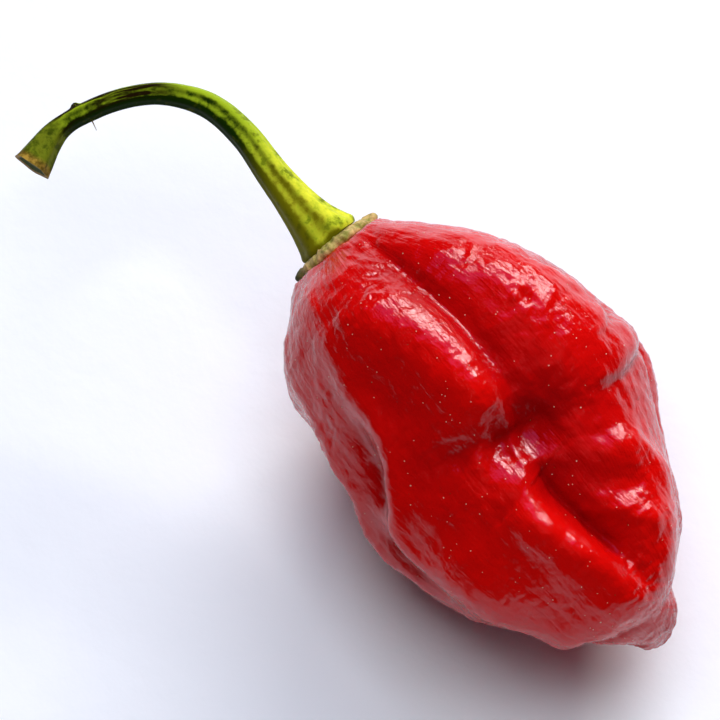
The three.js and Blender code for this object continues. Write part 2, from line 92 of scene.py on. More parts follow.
# The pod's lobes and folds: name, kind, height, width and line. A point of a line is the
# distance from the broad end, the degrees round the pod and the fold's strength there. A step
# raises the side of the larger angle, or the broad end's side where its line runs round the pod.
SWELL, CREASE, STEP = "swell", "crease", "step"
FOLDS = [
    ("main furrow", CREASE, -2.1, 2.3,
     [(1, -6, 0.25), (6, -4, 0.6), (12, -3, 0.8), (18.5, -2, 0.9), (23.5, 0, 1), (26, 3, 0.6),
      (27.5, 5, 0.2)]),
    ("edge of the first lobe", STEP, 0.5, 1.1,
     [(4, 2, 0.2), (8, 1, 0.5), (13, 0, 0.8), (19, 0, 1), (23.5, 2, 1), (26.5, 6, 0.9)]),
    ("wide start of the furrow", SWELL, -1.0, 3.4, [(4, 5, 0.5), (8, 5, 1), (12, 3, 0.8), (15, 2, 0.3)]),
    ("first lobe", SWELL, 1.3, 4.0,
     [(5, 32, 0.6), (9, 28, 0.9), (13, 21, 1), (16, 16, 1), (20, 14, 1), (24, 14, 1)]),
    ("end of the first lobe", SWELL, 0.8, 3.2, [(23.5, 12, 1), (24, 20, 0.6)]),
    ("flat of the face", SWELL, -0.7, 5.5, [(8, 30, 0.6), (14, 31, 1), (20, 31, 1), (24, 33, 0.6)]),
    ("drop into the hollow", SWELL, -1.9, 2.3,
     [(27.4, -9, 0.3), (28, -3, 0.9), (28.2, 5, 1), (28, 12, 0.7)]),
    ("hollow", SWELL, -1.5, 4.2, [(29.6, 4, 0.8), (30.5, -3, 1), (31.5, -12, 0.6)]),
    ("valley from the hook to the hollow", SWELL, -0.6, 3.4,
     [(29, -40, 0.4), (29.3, -28, 0.7), (29, -14, 1)]),
    ("second lobe", SWELL, 0.9, 5.2, [(9, -32, 0.6), (14, -34, 1), (20, -36, 1)]),
    ("shoulder by the calyx", SWELL, 0.6, 3.0, [(5, 62, 0.8), (7, 82, 1), (10, 100, 0.8)]),
    ("valley under the first lobe", CREASE, -2.2, 2.4,
     [(28, 11, 0.4), (27.6, 15, 0.9), (27, 21, 1), (26.4, 31, 0.8), (25.8, 42, 0.4)]),
    ("bridge under the first lobe", SWELL, 0.5, 1.1, [(25.5, 17, 0.4), (26.8, 20, 1), (28, 27, 0.7)]),
    ("lower crease", CREASE, -2.3, 1.2,
     [(31.6, 8, 0.3), (33, 10, 0.8), (34.5, 11, 1), (36, 10.5, 1), (38.5, 8, 1), (41.4, 4.5, 0.9),
      (43.8, 4, 0.6), (46, 3, 0.15)]),
    ("edge of the lower lobe", STEP, 1.5, 1.3,
     [(33, 19.5, 0.3), (34.5, 18.5, 0.8), (36, 17.3, 1), (38.5, 15, 1), (41, 12.5, 1), (43.5, 10.5, 0.6)]),
    ("sides of the lower crease", SWELL, -0.5, 3.2, [(32, 6, 1), (36, 8, 1), (40, 5, 0.8)]),
    ("lower lobe", SWELL, 1.8, 4.2,
     [(30, 26, 0.5), (32, 25, 0.8), (35, 23, 0.9), (38, 20, 0.9), (42, 15, 0.7), (46, 12, 0.3)]),
    ("corner of the lower lobe", SWELL, 2.6, 4.0,
     [(30, 54, 0.4), (34, 58, 0.8), (38, 61, 0.9), (42, 60, 0.6), (45, 55, 0.6), (46.5, 48, 0.4)]),
    ("corner by the tip", SWELL, 0.6, 3.0,
     [(39, -38, 0.4), (42, -28, 0.9), (45, -12, 1), (46, 12, 1), (45.5, 36, 0.8)]),
    ("right lobe", SWELL, 1.2, 4.0, [(33, -22, 0.6), (36, -20, 1), (40, -17, 1), (44, -10, 0.7)]),
    ("flank ridge", SWELL, 0.9, 1.8,
     [(5, 46, 0.2), (10, 46, 0.4), (14, 49, 0.6), (18, 49, 0.8), (20.4, 50, 1), (22.3, 53, 1),
      (24, 57, 1), (25.2, 63, 1), (27.2, 69, 1), (29.6, 71, 0.9), (32.4, 69, 0.6), (35.6, 67, 0.3)]),
    ("fall of the flank", STEP, -0.5, 1.7,
     [(8, 50, 0.3), (14, 52, 0.8), (20, 54, 1), (24, 62, 1), (28, 74, 0.8), (33, 76, 0.4)]),
    ("flank dent", SWELL, -1.3, 2.0, [(19, 63, 0.6), (21.5, 66, 1), (23.8, 70, 0.9)]),
    ("outer ridge", SWELL, 0.7, 1.6,
     [(11, 80, 0.4), (14.3, 83, 0.7), (17.5, 86, 1), (20.8, 86, 1), (23.7, 92, 1), (26.3, 94, 1),
      (29.7, 90, 0.8), (33.3, 88, 0.5)]),
    ("outer groove", CREASE, -0.6, 1.4, [(26, 84, 0.5), (29, 81, 1), (33, 80, 1), (37, 80, 0.4)]),
    ("lip of the shoulder", STEP, 0.55, 0.6,
     [(14.6, -41, 0.3), (16.5, -48, 0.8), (18.4, -56, 1), (20.6, -60, 1), (23.2, -53, 0.9),
      (24.7, -44, 0.5)]),
    ("shoulder fold", CREASE, -0.7, 1.0,
     [(14.6, -44, 0.3), (16.5, -52, 0.9), (18.4, -60, 1), (21, -64, 1), (23.6, -56, 0.8)]),
    ("small knob", SWELL, 0.4, 1.6, [(24.5, -56, 1)]),
    ("edge of the hook", STEP, 0.4, 0.9,
     [(26.5, -72, 0.8), (28.2, -58, 1), (29.2, -48, 1), (29.5, -38, 0.8), (29.5, -28, 0.3)]),
    ("hooked crease", CREASE, -0.7, 1.1,
     [(27, -72, 1), (28.8, -56, 1), (29.8, -42, 0.8), (30, -28, 0.3)]),
    ("right-hand fold", CREASE, -0.8, 1.1,
     [(28, -72, 1), (30, -70, 1), (32, -68, 1), (35, -68, 0.8), (37, -66, 0.3)]),
    ("cross ridge", SWELL, 0.45, 1.5, [(34.3, -12, 0.5), (34.8, -20, 1), (35.3, -29, 1), (37, -35, 0.8)]),
    ("right knob", SWELL, 0.6, 2.0, [(38.8, -38, 1)]),
    ("crease knobs", SWELL, 0.5, 1.3, [(38.6, -3, 1), (40.6, -10, 0.7), (42, -14, 1)]),
    ("dip beside the knobs", SWELL, -0.7, 1.9, [(36.5, -8, 0.8), (38, -18, 1), (38, -26, 0.5)]),
    ("tip fold", CREASE, -0.8, 0.9,
     [(46.7, 80, 0.8), (46.9, 62, 1), (47.8, 45, 0.9), (48.6, 30, 0.6), (49, 10, 0.2)]),
    ("notch at the tip", SWELL, -0.9, 1.6, [(48.5, 66, 1), (50, 60, 0.8)]),
    ("tip crease", CREASE, -0.7, 0.9, [(47.5, -60, 0.6), (48, -45, 1), (48.7, -25, 1), (49, -5, 0.6)]),
    ("tip corner", SWELL, 0.5, 1.8, [(45.2, 74, 1)]),
    ("left furrow of the underside", CREASE, -1.8, 3.0,
     [(3, 124, 0.4), (14, 127, 1), (27, 124, 1), (38, 118, 0.7), (45, 112, 0.3)]),
    ("right furrow of the underside", CREASE, -2.2, 2.8,
     [(3, -112, 0.4), (14, -118, 1), (26, -112, 1), (36, -118, 0.8), (44, -110, 0.3)]),
    ("far shoulder dent", SWELL, -1.0, 3.0, [(14, -92, 1)]),
    ("far flank dent", SWELL, -1.0, 2.4, [(30, -97, 1), (34, -90, 1)]),
    ("far flank ridge", SWELL, 0.8, 2.2, [(20, -96, 0.5), (25, -94, 1)]),
]
LINE_STEPS = 6
CREASE_SOFTNESS = 0.22
STEP_REACH = 4.0
FOLD_FREE_END = 3.0
FOLD_FREE_TIP = 0.8
# How even the pod's rings are: below 1 they come closer together towards the tip
EVEN_RINGS = 0.35

# Marks too small for the part's source, in the same form
FINE_FOLDS = [
    ("crater", SWELL, -0.5, 0.6, [(18.2, -26, 1)]),
    ("crater's rim", SWELL, 0.25, 0.7, [(17.2, -27.5, 1), (17.6, -23.5, 1), (19, -23, 0.8)]),
    *(("crease from the crater", CREASE, -0.22, 0.3,
       [(18 + near, -26 + turn, 1), (18 + far, -26 + 2.6 * turn, 0.3)])
      for near, far, turn in [(0, 0, -3.1), (0.6, 1.7, 1), (0.2, 0.4, 3), (-0.6, -1.7, 1.2),
                              (-0.5, -1.5, -1.8)]),
    *(("wrinkle under the first lobe", CREASE, -0.3, 0.35,
       [(start, turn, 0.4), (start + 1.4, turn + lean, 1), (start + 2.6, turn + 1.6 * lean, 0.3)])
      for start, turn, lean in [(27.6, 22.5, 2), (27.9, 20, 1.4), (28.3, 17.8, 0.4), (28.9, 16, 0)]),
    *(("little knob", SWELL, 0.35, 0.55, [(along, turn, 1)])
      for along, turn in [(38.7, 1.5), (39.4, -2), (39.9, -6), (41.2, -8.5), (37.9, 5)]),
]

# The calyx, in millimetres and degrees. A tooth is its place, length and half width, and a wave
# of the rim its count, depth and turn.
CALYX_GAP = 0.3
CALYX_RADIUS = 4.2
CALYX_HEIGHT = 1.0
CALYX_TEETH = [(106, 0.95, 9), (-74, 1.0, 8), (-150, 0.5, 12), (176, 0.6, 10), (30, 0.25, 14)]
CALYX_WAVES = [(5, 0.12, 20), (9, 0.1, 75), (14, 0.07, 10), (31, 0.04, 50), (47, 0.03, 0)]
# Share of the rim's radius, height over the seat and how much the piece there is crumpled
CALYX_PROFILE = [
    (0.5, 0.06, 0), (0.9, 0.06, 0), (0.98, 0.2, 0.5), (1.0, 0.45, 1), (0.99, 0.72, 1), (0.96, 0.9, 1),
    (0.91, 1.05, 1), (0.85, 1.15, 1), (0.8, 1.1, 0.6), (0.77, 1.25, 0.3), (0.6, 1.3, 0), (0.3, 1.3, 0),
]
CALYX_FOLDS = [(13, 1), (22, 0), (35, 2)]
CALYX_JAG = 0.07
CALYX_CRUMPLE = 0.05
CALYX_SEED = 11
# The shares of the radius between which the rim's waves come in
WAVES_FROM, WAVES_TO = 0.7, 0.95
# The share of the radius from which the longest tooth is green, how fast that comes and how wide it is
GREEN_FROM = 0.8
GREEN_RISE = 8
GREEN_SPREAD = 0.02

# Points of the stalk's middle line, from the middle of the seat
STALK_LINE = [
    (-4.3, -0.4, 1.4), (-9.4, -0.4, 2.5), (-14.4, 0, 2.9), (-19.1, -0.6, 3.1), (-22.8, -2.8, 3.0),
    (-25.1, -5.8, 2.9), (-26.7, -9.6, 2.4), (-27.5, -13.7, 1.5), (-26.3, -18.1, 0.5),
]
ROUTE_STEPS = 24
# Share of the stalk's length and its radius there
STALK_RADII = np.array([
    [0, 3.1], [0.012, 3.3], [0.03, 3.0], [0.08, 2.38], [0.16, 1.86], [0.28, 1.53], [0.42, 1.38],
    [0.55, 1.2], [0.65, 1.08], [0.84, 1.06], [0.92, 1.4], [0.97, 1.75], [1, 2.0],
])

# The side of the stalk that is painted as lit, the other side being painted with shade, and the
# share of the stalk's length and the sizes in millimetres of its small knob and its hair
PAINTED_LIGHT_SIDE = np.array([-0.21, 0.91, 0.37])
KNOB_SHARE = 0.82
KNOB_HEIGHT = 0.4
KNOB_WIDTH = 0.4
HAIR_SHARE = 0.795
HAIR_LENGTH = 1.2
HAIR_FOOT, HAIR_END = 0.08, 0.03
# The share of the hair's length that its middle stands out of the stalk
HAIR_OUT = 0.4

# The cut end, from its rim to its middle: inset, rise in millimetres and material
RIM, PITH = 1, 2
CUT_STEPS = [(0.12, 0.0, RIM), (0.3, -0.1, RIM), (0.35, -0.25, PITH), (0.5, -0.05, PITH)]
CUT_DEPTH = 0.4

# How far right of and below the middle of the seat the camera looks, in the picture's directions
LOOK_RIGHT = 2.5
LOOK_DOWN = 11.3
PAPER_HALF = 1500

# Lamps: name, turn from straight behind the pepper to the right and height, both in degrees, width
# and height in metres, share of the power, colour and whether glossy surfaces mirror it
LAMPS = [
    ("window", 18, 31, (0.6, 0.17), 0.42, "#fffdfb", True),
    ("upper window", 15, 52, (0.45, 0.45), 0.12, "#ffffff", False),
    ("evening sky", 5, 50, (0.8, 0.34), 0.07, "#7f8cff", True),
    ("ceiling", 0, 90, (0.6, 0.6), 0.36, "#f0f5fd", False),
    ("far wall", 180, 25, (0.35, 0.35), 0.03, "#dfe9ff", False),
]
LAMP_DISTANCE = 0.9
ROOM_COLOUR = "#dfe8ff"
ROOM_STRENGTH = 0.015


def linear(code):
    """An sRGB hex colour as linear RGBA."""
    parts = [int(code[i:i + 2], 16) / 255 for i in (1, 3, 5)]
    return [p / 12.92 if p <= 0.04045 else ((p + 0.055) / 1.055) ** 2.4 for p in parts] + [1.0]


class PodSettings(bpy.types.PropertyGroup):
    rings: IntProperty(name="Rings", description="Cross-sections along the pod", default=290, min=40)
    sides: IntProperty(name="Sides", description="Points round a cross-section", default=320, min=40)
    lump_height: FloatProperty(
        name="Lump height", description="Unevenness of the skin over a few millimetres",
        default=0.62 * MM, unit="LENGTH", precision=5)
    lump_size: FloatProperty(
        name="Lump size", description="Distance between lumps", default=7 * MM, unit="LENGTH", precision=5)
    ripple_height: FloatProperty(
        name="Ripple height", description="Height of the fine lengthwise ripples",
        default=0.13 * MM, unit="LENGTH", precision=5)
    crinkle_depth: FloatProperty(
        name="Crinkle depth", description="Depth of the fine crossing wrinkles", default=0.055 * MM,
        unit="LENGTH", precision=5)
    crinkle_size: FloatProperty(
        name="Crinkle size", description="Distance between the fine crossing wrinkles", default=1.6 * MM,
        unit="LENGTH", precision=5)
    ripples: FloatProperty(
        name="Ripples", description="Ripples across one radian of the pod's girth", default=9.0)
    # Deep red is the skin's darker patches and the painted shade in its furrows, bright red its brighter
    # patches and the painted light on its lobes
    deep_red: FloatVectorProperty(
        name="Deep red", description="The skin in its furrows and darker patches",
        default=linear("#8e0105"), size=4, subtype="COLOR")
    bright_red: FloatVectorProperty(
        name="Bright red", description="The skin on its lobes", default=linear("#d20704"), size=4,
        subtype="COLOR")


class CalyxSettings(bpy.types.PropertyGroup):
    sides: IntProperty(name="Sides", description="Points round the calyx", default=240, min=40)
    ochre: FloatVectorProperty(
        name="Ochre", description="The dry corky parts", default=linear("#d2b070"), size=4, subtype="COLOR")
    olive: FloatVectorProperty(
        name="Olive", description="The parts that are still green", default=linear("#858332"), size=4,
        subtype="COLOR")


class StalkSettings(bpy.types.PropertyGroup):
    steps: IntProperty(name="Steps", description="Cross-sections along the stalk", default=220, min=20)
    sides: IntProperty(name="Sides", description="Points round the stalk", default=60, min=10)
    angles: IntProperty(name="Angles", description="Blunt edges round the stalk", default=5, min=3)
    edge_depth: FloatProperty(
        name="Edge depth", description="How far the edges stand out, as a share of the radius",
        default=0.07)
    lump_height: FloatProperty(
        name="Lump height", description="Unevenness of the stalk", default=0.09 * MM, unit="LENGTH",
        precision=5)
    # Pale green and green are the colours of the side painted as lit, olive and deep green those of the
    # side painted with shade
    pale_green: FloatVectorProperty(
        name="Pale green", description="The young base of the stalk", default=linear("#dada34"), size=4,
        subtype="COLOR")
    green: FloatVectorProperty(
        name="Green", description="The upper side of the stalk", default=linear("#93a91c"), size=4,
        subtype="COLOR")
    deep_green: FloatVectorProperty(
        name="Deep green", description="The shaded side of the stalk", default=linear("#152a02"), size=4,
        subtype="COLOR")
    olive: FloatVectorProperty(
        name="Olive", description="The shaded side of the stalk's base", default=linear("#706c08"), size=4,
        subtype="COLOR")


class SpeckSettings(bpy.types.PropertyGroup):
    density: FloatProperty(
        name="Density", description="Specks on a square metre of skin", default=120000.0)
    size: FloatProperty(
        name="Size", description="Radius of the largest specks", default=0.1 * MM, unit="LENGTH",
        precision=5)
    seed: IntProperty(name="Seed", description="Seed of the specks' places", default=7)


class StageSettings(bpy.types.PropertyGroup):
    azimuth: FloatProperty(
        name="Azimuth", description="The camera's turn round the pepper", default=math.radians(50.7),
        subtype="ANGLE")
    elevation: FloatProperty(
        name="Elevation", description="The camera's height over the surface", default=math.radians(64),
        subtype="ANGLE")
    distance: FloatProperty(
        name="Distance", description="From the camera to the pepper", default=0.4, unit="LENGTH")
    field: FloatProperty(
        name="Field", description="Width that the picture shows at the pepper", default=0.072,
        unit="LENGTH", precision=4)
    light_power: FloatProperty(name="Light power", description="Watts of all lamps together", default=14.8)
    paper: FloatVectorProperty(
        name="Paper", description="The sheet that the pepper lies on", default=linear("#f3f5f8"), size=4,
        subtype="COLOR")


def fill(tree, node, inputs):
    """Gives a node's own sockets their values, or their links from other sockets."""
    for name, value in inputs.items():
        if isinstance(value, bpy.types.NodeSocket):
            tree.links.new(value, node.inputs[name])
        else:
            node.inputs[name].default_value = value


def add(tree, kind, inputs=None, **settings):
    """A new node with its settings, its input values and its links from other sockets."""
    made = tree.nodes.new(kind)
    for name, value in settings.items():
        setattr(made, name, value)
    fill(tree, made, inputs or {})
    return made


def marks(apart):
    """The scale of a pattern whose marks are this many millimetres apart."""
    return 1 / (apart * MM)


def new_material(name):
    """An empty material, its tree, its shader and the place on the piece for its patterns."""
    material = bpy.data.materials.new(name)
    material.use_nodes = True
    tree = material.node_tree
    place_on = add(tree, "ShaderNodeTexCoord").outputs["Object"]
    return material, tree, tree.nodes["Principled BSDF"], place_on


def new_tree(name, sizes):
    """An empty Geometry Nodes tree with named number inputs and a material input."""
    tree = bpy.data.node_groups.new(name, "GeometryNodeTree")
    face = tree.interface
    face.new_socket("Geometry", in_out="INPUT", socket_type="NodeSocketGeometry")
    for label, kind in sizes:
        face.new_socket(label, in_out="INPUT", socket_type=kind)
    face.new_socket("Material", in_out="INPUT", socket_type="NodeSocketMaterial")
    face.new_socket("Geometry", in_out="OUTPUT", socket_type="NodeSocketGeometry")
    return tree


def raise_surface(tree, geometry, height, source):
    """Moves a surface out by a height and ends the tree."""
    normal = add(tree, "GeometryNodeInputNormal")
    offset = add(tree, "ShaderNodeVectorMath", {0: normal.outputs[0], "Scale": height}, operation="SCALE")
    moved = add(tree, "GeometryNodeSetPosition", {"Geometry": geometry, "Offset": offset.outputs[0]})
    finish_tree(tree, moved.outputs["Geometry"], source)


def finish_tree(tree, geometry, source):
    """Realizes the instances, sets the material and ends the tree."""
    real = add(tree, "GeometryNodeRealizeInstances", {"Geometry": geometry})
    painted = add(tree, "GeometryNodeSetMaterial", {
        "Geometry": real.outputs["Geometry"], "Material": source.outputs["Material"]})
    add(tree, "NodeGroupOutput", {"Geometry": painted.outputs["Geometry"]})


def grown(obj, tree, values):
    """The plain mesh that a Geometry Nodes tree makes from an object, in place of its own."""
    modifier = obj.modifiers.new(tree.name, "NODES")
    modifier.node_group = tree
    sockets = {s.name: s.identifier for s in tree.interface.items_tree if s.in_out == "INPUT"}
    for label, value in values.items():
        modifier[sockets[label]] = value
    bpy.context.view_layer.update()
    whole = obj.evaluated_get(bpy.context.evaluated_depsgraph_get())
    mesh = bpy.data.meshes.new_from_object(whole)
    obj.modifiers.remove(modifier)
    obj.data = mesh
    mesh.name = obj.name
    return obj


def new_object(name, mesh):
    obj = bpy.data.objects.new(name, mesh)
    bpy.context.scene.collection.objects.link(obj)
    return obj


def points_of(mesh):
    flat = np.zeros(len(mesh.vertices) * 3, np.float32)
    mesh.vertices.foreach_get("co", flat)
    return flat.reshape(-1, 3).astype(float)


def move_points(mesh, points):
    mesh.vertices.foreach_set("co", points.astype(np.float32).ravel())
    mesh.update()


def set_attribute(mesh, name, kind, values):
    attribute = mesh.attributes.new(name, kind, "POINT")
    key = "vector" if kind == "FLOAT_VECTOR" else "value"
    attribute.data.foreach_set(key, np.asarray(values, np.float32).ravel())


def ring_mesh(name, points, rings, sides):
    """A mesh of rings of points in millimetres, with its two ends closed on the last two points."""
    first_pole, last_pole, last = rings * sides, rings * sides + 1, (rings - 1) * sides
    faces = []
    for j in range(sides):
        k = (j + 1) % sides
        faces.append((first_pole, k, j))
        faces.append((last_pole, last + j, last + k))
        for row in range(0, last, sides):
            faces.append((row + j, row + k, row + sides + k, row + sides + j))
    mesh = bpy.data.meshes.new(name)
    mesh.from_pydata((points * MM).tolist(), [], faces)
    return mesh


def outward(mesh):
    """Turns a closed mesh's faces outwards."""
    work = bmesh.new()
    work.from_mesh(mesh)
    bmesh.ops.recalc_face_normals(work, faces=work.faces)
    work.to_mesh(mesh)
    work.free()


def hand_over(obj, node):
    """The piece rides on the pepper's body and stands for the CAD node."""
    for polygon in obj.data.polygons:
        polygon.use_smooth = True
    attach(obj, BODY)
    if node:
        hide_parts(node)


def smooth_column(table, column):
    """A smooth curve through a column of a table that never overshoots its values."""
    x, y = table[:, 0], table[:, column]
    step = np.diff(x)
    rise = np.diff(y) / step
    slope = np.zeros(len(x))
    slope[0], slope[-1] = 1.5 * rise[0], 1.5 * rise[-1]
    for i in range(1, len(x) - 1):
        if rise[i - 1] * rise[i] > 0:
            before, after = 2 * step[i] + step[i - 1], step[i] + 2 * step[i - 1]
            slope[i] = (before + after) / (before / rise[i - 1] + after / rise[i])

    def at(value):
        value = np.clip(value, x[0], x[-1])
        i = np.clip(np.searchsorted(x, value, side="right") - 1, 0, len(x) - 2)
        t = (value - x[i]) / step[i]
        u = 1 - t
        return (u * u * ((1 + 2 * t) * y[i] + t * step[i] * slope[i])
                + t * t * ((3 - 2 * t) * y[i + 1] - u * step[i] * slope[i + 1]))

    return at


REACH = {column: smooth_column(POD_REACH, column) for column in (LEFT, RIGHT, FACE, BACK)}


def reach(along, around):
    """The plain pod's radius, in millimetres."""
    c, s = np.cos(around - FACE_TURN), np.sin(around - FACE_TURN)
    side = np.where(s > 0, REACH[LEFT](along), REACH[RIGHT](along))
    front = np.where(c > 0, REACH[FACE](along), REACH[BACK](along))
    return c * c * front + s * s * side


def place(along, around, radius):
    """A point in the pod's own directions, in millimetres."""
    along, around, radius = np.broadcast_arrays(along, around, radius)
    return (SEAT + along[..., None] * TO_TIP + (radius * np.cos(around))[..., None] * TO_TOP
            + (radius * np.sin(around))[..., None] * TO_LEFT)


def skin(along, around):
    return place(along, around, reach(along, around))


def seat_plane(along, around, radius):
    """A point of the leaning seat, or one that stands off it along the pod's axis."""
    lean = SEAT_SLOPE * radius * np.cos(around - FACE_TURN)
    return place(SEAT_DEPTH + along + lean, around, radius)


def skin_normal(along, around):
    step, turn = 0.05, 0.002
    lengthwise = (skin(np.minimum(along + step, POD_LENGTH), around)
                  - skin(np.maximum(along - step, 0), around))
    crosswise = skin(along, around + turn) - skin(along, around - turn)
    normal = np.cross(crosswise, lengthwise)
    return normal / np.linalg.norm(normal, axis=-1, keepdims=True)


def through(points, steps):
    """A smooth line through points, in short straight pieces."""
    points = np.asarray(points, float)
    if len(points) == 1:
        return points
    ends = np.vstack([2 * points[0] - points[1], points, 2 * points[-1] - points[-2]])
    t = np.linspace(0, 1, steps, endpoint=False)[:, None]
    line = []
    for p0, p1, p2, p3 in zip(ends, ends[1:], ends[2:], ends[3:]):
        line.append(0.5 * (2 * p1 + (p2 - p0) * t + (2 * p0 - 5 * p1 + 4 * p2 - p3) * t ** 2
                           + (3 * p1 - p0 - 3 * p2 + p3) * t ** 3))
    return np.vstack([*line, points[-1:]])


def fold_height(points, normals, fold):
    """The height that one fold gives to points of the plain skin."""
    _, kind, height, width, line = fold
    laid = through(line, LINE_STEPS)
    at = skin(laid[:, 0], np.radians(laid[:, 1]))
    strength = laid[:, 2]
    best = np.linalg.norm(points - at[0], axis=-1)
    power = np.full(len(points), strength[0])
    side = np.zeros(len(points))
    for i in range(len(at) - 1):
        piece = at[i + 1] - at[i]
        t = np.clip((points - at[i]) @ piece / (piece @ piece), 0, 1)
        offset = points - at[i] - t[:, None] * piece
        distance = np.linalg.norm(offset, axis=-1)
        nearer = distance < best
        best = np.where(nearer, distance, best)
        power = np.where(nearer, strength[i] + t * (strength[i + 1] - strength[i]), power)
        across = np.cross(normals, piece / np.linalg.norm(piece))
        side = np.where(nearer, -np.sum(across * offset, -1), side)
    if kind == CREASE:
        soft = CREASE_SOFTNESS * width
        return height * power * np.exp(-(np.hypot(best, soft) - soft) / width)
    if kind == STEP:
        share = side / np.hypot(side, width)
        return height * power * share * np.exp(-(best / (STEP_REACH * width)) ** 2)
    return height * power * np.exp(-(best / width) ** 2)


def settle(z):
    """The underside is flat where it meets the paper."""
    eased = (z + REST_BLEND) ** 2 / (4 * REST_BLEND)
    return np.where(z <= -REST_BLEND, 0, np.where(z < REST_BLEND, eased, z))


def folded_skin(along, around):
    """Points of the finished skin before its ripples, and the height of its folds, in millimetres."""
    plain = skin(along, around)
    normals = skin_normal(along, around)
    height = sum(fold_height(plain, normals, fold) for fold in FOLDS + FINE_FOLDS)
    height *= np.minimum(1, np.minimum(along / FOLD_FREE_END, (POD_LENGTH - along) / FOLD_FREE_TIP))
    return plain + normals * height[:, None], height


def pod_mesh(rings, sides):
    """Rings of points from the calyx to the tip, with their place on the skin as attributes."""
    share = np.arange(rings) / rings
    share = np.repeat(EVEN_RINGS * share + (1 - EVEN_RINGS) * np.sin(share * math.pi / 2), sides)
    around = np.tile(np.arange(sides) * 2 * math.pi / sides, rings)
    start = SEAT_DEPTH + SEAT_SLOPE * SEAT_RADIUS * np.cos(around - FACE_TURN)
    along = start + (POD_LENGTH - start) * share
    points, height = folded_skin(along, around)
    points = np.vstack([points, SEAT + SEAT_DEPTH * TO_TIP, SEAT + POD_LENGTH * TO_TIP])
    mesh = ring_mesh("pod_skin", points, rings, sides)
    turn = np.stack([np.cos(around), np.sin(around), along / POD_LENGTH], -1)
    set_attribute(mesh, "skin", "FLOAT_VECTOR", np.vstack([turn, [0, 0, 0], [0, 0, 1]]))
    set_attribute(mesh, "fold", "FLOAT", np.append(height, [0, 0]))
    return mesh


def ripple_tree():
    """Raises lumps, fine lengthwise ripples and patches of crossing wrinkles from the skin."""
    tree = new_tree("Skin ripples", [
        ("Lump height", "NodeSocketFloat"), ("Lump size", "NodeSocketFloat"),
        ("Ripple height", "NodeSocketFloat"), ("Ripples", "NodeSocketFloat"),
        ("Crinkle depth", "NodeSocketFloat"), ("Crinkle size", "NodeSocketFloat")])
    source = add(tree, "NodeGroupInput")
    position = add(tree, "GeometryNodeInputPosition").outputs[0]
    many = add(tree, "ShaderNodeMath", {0: 1.0, 1: source.outputs["Lump size"]}, operation="DIVIDE")
    close = add(tree, "ShaderNodeMath", {0: 1.0, 1: source.outputs["Crinkle size"]}, operation="DIVIDE")
    skin_place = add(tree, "GeometryNodeInputNamedAttribute", {"Name": "skin"}, data_type="FLOAT_VECTOR")
    stretched = add(tree, "ShaderNodeVectorMath", {
        0: skin_place.outputs["Attribute"], 1: (1.0, 1.0, 0.45)}, operation="MULTIPLY")
    heights = []
    for where, scale, detail, roughness, distortion, height in [
            (position, many.outputs[0], 4.0, 0.66, 0.3, "Lump height"),
            (stretched.outputs[0], source.outputs["Ripples"], 3.0, 0.55, 0.35, "Ripple height")]:
        noise = add(tree, "ShaderNodeTexNoise", {
            "Vector": where, "Scale": scale, "Detail": detail, "Roughness": roughness,
            "Distortion": distortion})
        centred = add(tree, "ShaderNodeMath", {0: noise.outputs[0], 1: 0.5}, operation="SUBTRACT")
        raised = add(tree, "ShaderNodeMath", {
            0: centred.outputs[0], 1: source.outputs[height]}, operation="MULTIPLY")
        heights.append(raised.outputs[0])
    # Wrinkles are sharp valleys where a noise crosses its middle value
    weave = add(tree, "ShaderNodeTexNoise", {
        "Vector": position, "Scale": close.outputs[0], "Detail": 2.0, "Roughness": 0.5, "Distortion": 0.6})
    middle = add(tree, "ShaderNodeMath", {0: weave.outputs[0], 1: 0.5}, operation="SUBTRACT")
    valley = add(tree, "ShaderNodeMath", {0: middle.outputs[0]}, operation="ABSOLUTE")
    rise = add(tree, "ShaderNodeMapRange", {
        "Value": valley.outputs[0], "From Max": 0.16}, interpolation_type="SMOOTHERSTEP")
    # They come in patches of about 8 mm
    patch = add(tree, "ShaderNodeTexNoise", {"Vector": position, "Scale": marks(8), "Detail": 1.0})
    crinkled = add(tree, "ShaderNodeMapRange", {
        "Value": patch.outputs[0], "From Min": 0.46, "From Max": 0.62}, interpolation_type="SMOOTHSTEP")
    shallow = add(tree, "ShaderNodeMath", {
        0: crinkled.outputs[0], 1: source.outputs["Crinkle depth"]}, operation="MULTIPLY")
    total = add(tree, "ShaderNodeMath", {0: rise.outputs[0], 1: shallow.outputs[0]}, operation="MULTIPLY")
    for height in reversed(heights):
        total = add(tree, "ShaderNodeMath", {0: total.outputs[0], 1: height}, operation="ADD")
    # A noise runs only half its height each way
    doubled = add(tree, "ShaderNodeMath", {0: total.outputs[0], 1: 2.0}, operation="MULTIPLY")
    raise_surface(tree, source.outputs["Geometry"], doubled.outputs[0], source)
    return tree


